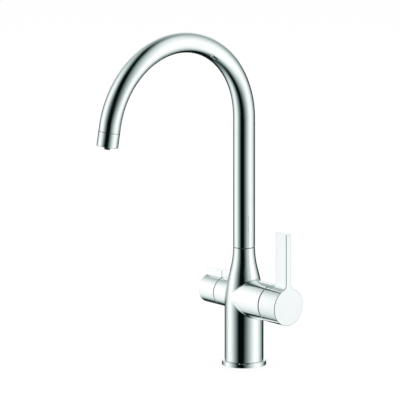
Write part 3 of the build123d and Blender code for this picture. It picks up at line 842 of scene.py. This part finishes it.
@dataclass(frozen=True)
class MouldedPart(Finish):
    """Moulded plastic or rubber."""

    grain: float = 1.2e-5
    scale: float = 2600.0
    edge_light: float = 0.5
    paler: float = 0.12
    dull: float = 0.10
    reach: float = 0.3 * MM

    def vary(self, graph: Graph, shader: bpy.types.Node) -> None:
        """Mould grain, a slow change of tone and paler rubbed edges.

        Args:
            graph: The material's tree.
            shader: Its Principled BSDF.
        """
        grain = MouldGrain.place(graph, Scale=self.scale)
        edges = RubbedAndShadedEdges.place(graph, Reach=self.reach)["Mask"]
        pale = tuple(part + (1.0 - part) * self.paler for part in self.colour)
        tone = graph.mix(grain["Mask"], self.colour, self.second)
        colour = graph.mix(graph.math("MULTIPLY", edges, self.edge_light), tone, pale)
        rough = graph.math("MULTIPLY_ADD", grain["Mask"], self.dull, self.roughness)
        self.link(graph, shader, colour, rough, graph.bump(grain["Height"], self.grain))


@dataclass(frozen=True)
class LappedCeramic(Finish):
    """Sintered alumina, lapped flat so that it seals."""

    grain: float = 5200.0
    grain_edge: Pair = (0.35, 0.7)
    grain_depth: float = 1.5e-6
    lapping: float = 2600.0
    lap_width: float = 0.03
    dull: float = 0.18

    def vary(self, graph: Graph, shader: bpy.types.Node) -> None:
        """Sinter grain in the tone, and fine lapping in the gloss.

        Args:
            graph: The material's tree.
            shader: Its Principled BSDF.
        """
        grain = graph.noise(graph.here(), self.grain, detail=3.0, roughness=0.6)
        grain = graph.spread(grain, *self.grain_edge)
        lapped = Hairlines.place(graph, Density=self.lapping, Width=self.lap_width)["Mask"]
        colour = graph.mix(grain, self.colour, self.second)
        rough = graph.math("MULTIPLY_ADD", lapped, self.dull, self.roughness)
        self.link(graph, shader, colour, rough, graph.bump(grain, self.grain_depth))


BODY_CHROME = PolishedChrome("body_chrome", CHROME, CHROME_DULL, 0.045, metallic=1.0,
                             round_over=0.3 * MM)
LEVER_CHROME = PolishedChrome("lever_chrome", CHROME, CHROME_DULL, 0.055, metallic=1.0,
                              hairline=0.07, smear=0.05)
# A darker copy of the lever chrome: painted shade on the mixer lever.
MIXER_SHADED_CHROME = replace(LEVER_CHROME, name="mixer_lever_shaded_chrome", colour=(0.823, 0.855, 0.855),
                       second=(0.77, 0.80, 0.80))
# A near black metal finish for the filtered water's nozzle.
NOZZLE_METAL = PolishedChrome("nozzle_dark_metal", (0.085, 0.09, 0.092), (0.06, 0.062, 0.065), 0.20,
                              metallic=1.0, round_over=0.2 * MM)
RUBBER = MouldedPart("black_rubber", (0.018, 0.018, 0.019), (0.035, 0.035, 0.036), 0.52,
                     grain=2.0e-5, scale=3400.0)
SLIDE_PLASTIC = MouldedPart("dark_acetal", (0.035, 0.037, 0.04), (0.05, 0.052, 0.055), 0.34)
GREY_PLASTIC = MouldedPart("grey_acetal", (0.33, 0.34, 0.345), (0.27, 0.28, 0.285), 0.38)
CARTRIDGE_PLASTIC = MouldedPart("cartridge_acetal", (0.78, 0.78, 0.74), (0.70, 0.70, 0.66), 0.36)
TUBE_PLASTIC = MouldedPart("clear_white_tube", (0.80, 0.83, 0.84), (0.72, 0.76, 0.77), 0.28,
                           grain=5.0e-6, scale=900.0,
                           extra={"Subsurface Weight": 0.35, "Subsurface Scale": 2.0 * MM})
CERAMIC = LappedCeramic("lapped_alumina", (0.83, 0.81, 0.77), (0.74, 0.72, 0.68), 0.12, coat=0.3)


def brass(name: str, axis: Axis, centre: Triple = ORIGIN) -> TurnedMetal:
    """Machined brass turned about an axis.

    Args:
        name: The material's name.
        axis: The line it is turned about.
        centre: A point on that line, in metres.

    Returns:
        The finish.
    """
    return TurnedMetal(name, BRASS, BRASS_DULL, 0.24, metallic=1.0, axis=axis, centre=centre)


def steel(name: str, axis: Axis) -> TurnedMetal:
    """Bright stainless steel turned about an axis through the origin.

    Args:
        name: The material's name.
        axis: The line it is turned about.

    Returns:
        The finish.
    """
    return TurnedMetal(name, (0.66, 0.66, 0.65), (0.54, 0.54, 0.53), 0.22, metallic=1.0,
                       axis=axis, pitch=0.12 * MM, depth=2.5e-6)


# ---------------------------------------------------------------------------
# Sub-assemblies
# ---------------------------------------------------------------------------


@dataclass
class SubAssembly(ABC):
    """A group of parts that are dressed and moved together."""

    body: str

    @abstractmethod
    def finishes(self) -> dict[str, Finish]:
        """Chooses what each part is made of.

        Returns:
            Each CAD node of the group and its finish.
        """

    def build(self) -> None:
        """Gives each CAD node its finish, in the material slots of its object."""
        for node, finish in self.finishes().items():
            part = frame["nodes"][node]
            if not part.material_slots:
                part.data.materials.append(None)
            for slot in part.material_slots:
                slot.material = finish.material()
            LOG.info("%s: %s in %s", self.body, node, finish.name)


@dataclass
class Column(SubAssembly):
    """The casting with its base ring, seal, slide ring and lock screw."""

    body: str = "tap_body"
    seam_inset: float = 0.1 * MM
    stud_pitch: float = 1.25 * MM
    hose_pitch: float = 1.0 * MM

    def foot_seam_shade(self) -> SeamShade:
        """The line of painted shade where the column goes into the base ring.

        Returns:
            The seam, at the ring's top and just inside the column's surface.
        """
        ring_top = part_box("base_ring")[1][2]
        column_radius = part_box("body_casting")[1][1]
        return SeamShade(Axis.UP, (0.0, 0.0, ring_top), column_radius - self.seam_inset)

    def bores(self) -> tuple[Bore, ...]:
        """The tapped bores of the underside, as the record's mounts give them.

        Returns:
            The bore of the stud and those of the three hoses.
        """
        tapped = []
        for mount in frame["record"]["mounts"]:
            if mount["kind"] == "threaded_hole":
                pitch = self.stud_pitch if mount["name"] == "stud_hole" else self.hose_pitch
                x, y, _ = mount["pos_m"]
                sizes = mount["dims"]
                tapped.append(Bore((x, y), sizes["r_mm"] * MM, sizes["length_mm"] * MM, pitch))
        return tuple(tapped)

    def finishes(self) -> dict[str, Finish]:
        """Chrome outside, rubber under the base, dark acetal at the swivel.

        Returns:
            Each CAD node of the group and its finish.
        """
        # Both chromes get painted shade along the joint where the column meets the base ring.
        seam = self.foot_seam_shade()
        return {
            "body_casting": replace(BODY_CHROME, name="casting_chrome", seam=seam,
                                    foot=MachinedFoot(self.bores())),
            "base_ring": replace(BODY_CHROME, name="ring_chrome", round_over=0.0, seam=seam),
            "base_gasket": RUBBER,
            "neck_slide_ring": SLIDE_PLASTIC,
            "spout_lock_screw": steel("lock_screw_steel", Axis.ACROSS),
        }


@dataclass
class Spout(SubAssembly):
    """The swan neck with its outlet, nipple and inner tube."""

    body: str = "swivel_spout"
    radius: float = 12.5 * MM
    housing_length: float = 16.9 * MM
    foot_bevel: float = 0.5 * MM
    joint_bevel: float = 0.25 * MM

    def outlet_seam_shade(self) -> SeamShade:
        """The line of painted shade at the joint between the tube's end and the aerator housing, placed from the
        housing's box.

        The housing leans with the outlet. Its highest Y is on the rim just below the joint, and
        its lowest Z on the rim of its foot.

        Returns:
            The seam, on the surface of both.
        """
        lowest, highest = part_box("aerator_housing")
        _, sideways, upright = Axis.OUTLET.value
        y = highest[1] - self.radius * upright + self.joint_bevel * sideways
        foot_radius = self.radius - self.foot_bevel
        z = lowest[2] + foot_radius * sideways + self.housing_length * upright
        return SeamShade(Axis.OUTLET, (0.0, y, z), self.radius)

    def finishes(self) -> dict[str, Finish]:
        """Chrome outside, brass and plastic inside.

        Returns:
            Each CAD node of the group and its finish.
        """
        # Painted shade along the joint of the tube and the aerator housing.
        chrome = replace(BODY_CHROME, name="spout_chrome", seam=self.outlet_seam_shade())
        return {
            "spout_tube": chrome,
            "aerator_housing": chrome,
            "spout_nipple": brass("nipple_brass", Axis.UP),
            "spout_o_rings": RUBBER,
            "filtered_tube": TUBE_PLASTIC,
            "tube_ferrule": brass("ferrule_brass", Axis.UP),
            "ferrule_o_ring": RUBBER,
            "aerator_washer": RUBBER,
            "aerator_insert": GREY_PLASTIC,
            "aerator_screen": steel("screen_steel", Axis.OUTLET),
            "filtered_nozzle": NOZZLE_METAL,
        }


@dataclass
class ValvePart(SubAssembly):
    """A group whose turned parts lie on a valve's axis."""

    joint: str

    def turned(self, name: str) -> TurnedMetal:
        """Brass turned about the axis of the group's joint.

        Args:
            name: The material's name.

        Returns:
            The finish.
        """
        place = next(joint["pos_m"] for joint in frame["joints"] if joint["name"] == self.joint)
        return brass(name, Axis.ACROSS, (0.0, 0.0, place[2]))


@dataclass
class MixerValve(ValvePart):
    """The mixer's cartridge in the casting."""

    body: str = "tap_body"
    joint: str = "mixer_turn"

    def finishes(self) -> dict[str, Finish]:
        """White acetal, ceramic, brass and rubber.

        Returns:
            Each CAD node of the group and its finish.
        """
        return {
            "mixer_port_seals": RUBBER,
            "mixer_cartridge_base": CARTRIDGE_PLASTIC,
            "mixer_fixed_disc": CERAMIC,
            "mixer_cartridge_housing": CARTRIDGE_PLASTIC,
            "mixer_retaining_nut": self.turned("mixer_nut_brass"),
        }


@dataclass
class MixerHandle(ValvePart):
    """What turns with the mixer lever."""

    body: str = "mixer_handle"
    joint: str = "mixer_turn"

    def finishes(self) -> dict[str, Finish]:
        """A chrome lever on a brass spindle.

        Returns:
            Each CAD node of the group and its finish.
        """
        return {
            # The mixer lever takes the darker copy of the chrome, which is painted shade.
            "mixer_lever": MIXER_SHADED_CHROME,
            "mixer_lever_screw": steel("mixer_screw_steel", Axis.UP),
            "mixer_lever_plug": GREY_PLASTIC,
            "mixer_spindle": self.turned("mixer_spindle_brass"),
            "mixer_spindle_o_ring": RUBBER,
            "mixer_disc_carrier": CARTRIDGE_PLASTIC,
            "mixer_moving_disc": CERAMIC,
        }


@dataclass
class FilterValve(ValvePart):
    """The filtered water's headwork in the casting."""

    body: str = "tap_body"
    joint: str = "filter_turn"

    def finishes(self) -> dict[str, Finish]:
        """Brass, ceramic and rubber.

        Returns:
            Each CAD node of the group and its finish.
        """
        return {
            "filter_seat_washer": RUBBER,
            "filter_fixed_disc": CERAMIC,
            "filter_headwork": self.turned("filter_headwork_brass"),
        }


@dataclass
class FilterHandle(ValvePart):
    """What turns with the filter lever."""

    body: str = "filter_handle"
    joint: str = "filter_turn"

    def finishes(self) -> dict[str, Finish]:
        """A chrome lever on a brass spindle.

        Returns:
            Each CAD node of the group and its finish.
        """
        return {
            "filter_lever": LEVER_CHROME,
            "filter_lever_screw": steel("filter_screw_steel", Axis.UP),
            "filter_lever_plug": GREY_PLASTIC,
            "filter_spindle": self.turned("filter_spindle_brass"),
            "filter_spindle_o_ring": RUBBER,
            "filter_moving_disc": CERAMIC,
        }


# ---------------------------------------------------------------------------
# Studio
# ---------------------------------------------------------------------------


def towards(heading: float, height: float) -> Vector:
    """The unit vector of a direction.

    Args:
        heading: The angle from +X towards +Y, in degrees.
        height: The angle above the horizon, in degrees.

    Returns:
        The vector.
    """
    turn, lift = math.radians(heading), math.radians(height)
    return Vector((math.cos(lift) * math.cos(turn), math.cos(lift) * math.sin(turn),
                   math.sin(lift)))


@dataclass(frozen=True)
class SoftLight:
    """A soft light or, below zero, a dark flag that polished metal mirrors.

    Heading is the angle from +X towards +Y and height the angle above the horizon, in degrees.
    A larger focus makes it smaller, with a harder edge.
    """

    name: str
    heading: float
    height: float
    focus: float
    level: float


@dataclass(frozen=True)
class Lamp:
    """A round soft lamp that lights the floor, and isn't seen itself."""

    name: str
    heading: float
    height: float
    power: float = 11.0
    size: float = 1.6
    distance: float = 2.0

    def build(self) -> None:
        """Hangs the lamp, turned to the object."""
        data = bpy.data.lights.new(self.name, "AREA")
        data.shape = "DISK"
        data.size = self.size
        data.energy = self.power
        lamp = bpy.data.objects.new(self.name, data)
        bpy.context.scene.collection.objects.link(lamp)
        way = towards(self.heading, self.height)
        lamp.location = way * self.distance
        lamp.rotation_euler = way.to_track_quat("Z", "Y").to_euler()
        lamp.visible_glossy = False
        lamp.visible_camera = False


@dataclass(frozen=True)
class DarkPanel:
    """A black panel behind the tap, whose image draws the dark lines along its outlines.

    The limits are the cosine of the turn from its heading, and the sine of the height.
    """

    heading: float = 133.7
    side: Pair = (0.719, 0.799)
    foot: Pair = (-0.80, -0.66)
    top: Pair = (-0.06, 0.06)
    level: float = 0.03

    def mask(self, graph: Graph, way: Socket) -> Socket:
        """Where the panel is seen.

        Args:
            graph: The world's tree.
            way: The direction looked in.

        Returns:
            1 on the panel and 0 off it, with soft edges.
        """
        flat = graph.vector("NORMALIZE", graph.vector("MULTIPLY", way, (1.0, 1.0, 0.0)))
        ahead = graph.vector("DOT_PRODUCT", flat, tuple(towards(self.heading, 0.0)), out="Value")
        lift = graph.parts(way)[2]
        within = graph.math("MULTIPLY", graph.spread(ahead, *self.side), graph.spread(lift, *self.foot))
        return graph.math("MULTIPLY", within, graph.spread(lift, *self.top, to_low=1.0, to_high=0.0))


@dataclass
class Studio:
    """The floor, the lamps, what the metal mirrors, and the camera."""

    azimuth: float = 49.7
    elevation: float = 12.5
    frame_width: float = 0.456
    aim: Triple = (-0.0633, -0.0122, 0.1822)
    camera_distance: float = 3.0
    clip: Pair = (0.1, 20.0)
    floor_half: float = 4.0
    floor_cells: int = 8
    floor_drop: float = 0.2 * MM
    floor_paper: float = 0.98
    floor_glow: float = 1.045
    glow_share: float = 0.75
    diffuse_level: float = 0.74
    mirror_gain: float = 1.14
    lamps: tuple[Lamp, ...] = (Lamp("lamp_left", -120, 50), Lamp("lamp_right", 30, 60))
    mirrored: tuple[SoftLight, ...] = (
        SoftLight("wall_right", 36, 14, 2.0, 1.22),
        SoftLight("wall_left", -132, -4, 3.1, 1.16),
        SoftLight("wall_behind", 140, -5, 21.0, 2.0),
        SoftLight("overhead", 168, 69, 2.6, 1.75),
        SoftLight("high_lamp", 104, 68, 16.0, 0.47),
        SoftLight("window_left", -148, 30, 12.0, 0.12),
        SoftLight("low_left", -146, -56, 7.1, 1.82),
        SoftLight("low_right", 25, -59, 3.4, 1.05),
        SoftLight("high_flag_back", 148, 69, 6.7, -1.60),
        SoftLight("high_flag_left", -98, 62, 6.3, -0.69),
        SoftLight("low_flag_left", -139, -65, 6.0, -1.48),
        SoftLight("edge_flag_front", -75, -12, 110.0, -0.015),
        SoftLight("front_flag", -42, 8, 25.0, -0.03),
        SoftLight("side_flag_right", 84, -28, 20.0, -0.14),
        SoftLight("side_flag_left", -163, -12, 40.0, -0.05),
        SoftLight("low_flag_back", 118, -46, 30.0, -0.40),
    )
    mirrored_base: float = -0.40
    panel: DarkPanel = DarkPanel()
    wall_tint: tuple[tuple[float, Colour], ...] = (
        (0.0, (0.001, 0.003, 0.003)),
        (0.053, (0.036, 0.053, 0.052)),
        (0.25, (0.198, 0.250, 0.245)),
        (0.5, (0.430, 0.498, 0.490)),
        (0.8, (0.740, 0.800, 0.790)),
        (1.0, (1.0, 1.0, 1.0)),
    )

    def floor(self) -> None:
        """A plain white floor that keeps the object's soft shadow."""
        mesh = bpy.data.meshes.new("floor")
        shape = bmesh.new()
        bmesh.ops.create_grid(shape, x_segments=self.floor_cells, y_segments=self.floor_cells,
                              size=self.floor_half)
        shape.to_mesh(mesh)
        shape.free()
        floor = bpy.data.objects.new("floor", mesh)
        bpy.context.scene.collection.objects.link(floor)
        floor.location.z = -self.floor_drop
        floor.visible_glossy = False
        floor.visible_transmission = False
        mesh.materials.append(self.floor_material())

    def floor_material(self) -> bpy.types.Material:
        """White to the camera, plain white paper to other rays, and clear from below.

        Returns:
            The material.
        """
        made = bpy.data.materials.new("floor_white")
        made.use_nodes = True
        made.node_tree.nodes.clear()
        graph = Graph(made.node_tree)
        paper = graph.wire(graph.node("BsdfDiffuse"), Color=(*[self.floor_paper] * 3, 1.0)).outputs[0]
        white = graph.wire(graph.node("Emission"), Strength=self.floor_glow).outputs[0]
        seen = graph.math("MULTIPLY", graph.node("LightPath").outputs["Is Camera Ray"], self.glow_share)
        lit = graph.wire(graph.node("MixShader"), seen, paper, white).outputs[0]
        below = graph.node("NewGeometry").outputs["Backfacing"]
        clear = graph.node("BsdfTransparent").outputs[0]
        whole = graph.wire(graph.node("MixShader"), below, lit, clear).outputs[0]
        graph.wire(graph.node("OutputMaterial"), whole)
        return made

    def walls(self, graph: Graph) -> Socket:
        """What polished metal mirrors: the soft lights and flags, with the dark panel over them.

        Args:
            graph: The world's tree.

        Returns:
            The colour in each direction.
        """
        way = graph.node("TexCoord").outputs["Generated"]
        total: Value = self.mirrored_base
        for light in self.mirrored:
            centre = tuple(towards(light.heading, light.height))
            near = graph.vector("DOT_PRODUCT", way, centre, out="Value")
            fall = graph.math("MULTIPLY", graph.math("SUBTRACT", near, 1.0), light.focus)
            total = graph.math("MULTIPLY_ADD", graph.math("EXPONENT", fall), light.level, total)
        shade = graph.wire(graph.node("Mix"), self.panel.mask(graph, way), A=total,
                           B=self.panel.level)
        return graph.ramp(shade.outputs[0], self.wall_tint)

    def world(self) -> None:
        """White to the camera, the walls to the metal, plain light to the rest."""
        world = bpy.data.worlds.new("studio")
        bpy.context.scene.world = world
        world.use_nodes = True
        world.node_tree.nodes.clear()
        graph = Graph(world.node_tree)
        plain = (self.diffuse_level / self.mirror_gain,) * 3
        white = (1.0 / self.mirror_gain,) * 3
        rays = graph.node("LightPath").outputs
        sharp = graph.math("MAXIMUM", rays["Is Glossy Ray"], rays["Is Transmission Ray"])
        seen = graph.mix(sharp, plain, self.walls(graph))
        seen = graph.mix(rays["Is Camera Ray"], seen, white)
        back = graph.wire(graph.node("Background"), seen, self.mirror_gain)
        graph.wire(graph.node("OutputWorld"), back.outputs[0])

    def camera(self) -> None:
        """A camera far off at the photograph's angle."""
        data = bpy.data.cameras.new("camera")
        data.type = "ORTHO"
        data.ortho_scale = self.frame_width
        data.clip_start, data.clip_end = self.clip
        camera = bpy.data.objects.new("camera", data)
        bpy.context.scene.collection.objects.link(camera)
        back = towards(self.azimuth - 90.0, self.elevation)
        camera.location = Vector(self.aim) + back * self.camera_distance
        camera.rotation_euler = back.to_track_quat("Z", "Y").to_euler()
        bpy.context.scene.camera = camera

    def build(self) -> None:
        """Sets up the whole studio."""
        bpy.context.scene.view_settings.view_transform = "Standard"
        self.floor()
        self.world()
        for lamp in self.lamps:
            lamp.build()
        self.camera()
        LOG.info("studio: floor, %d lamps, %d mirrored lights", len(self.lamps), len(self.mirrored))


def main() -> None:
    """Builds every sub-assembly and the studio."""
    logging.basicConfig(level=logging.INFO, format="%(name)s: %(message)s")
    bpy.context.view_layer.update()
    for group in (Column(), Spout(), MixerValve(), MixerHandle(), FilterValve(), FilterHandle()):
        group.build()
    Studio().build()


if __name__ == "__main__":
    main()
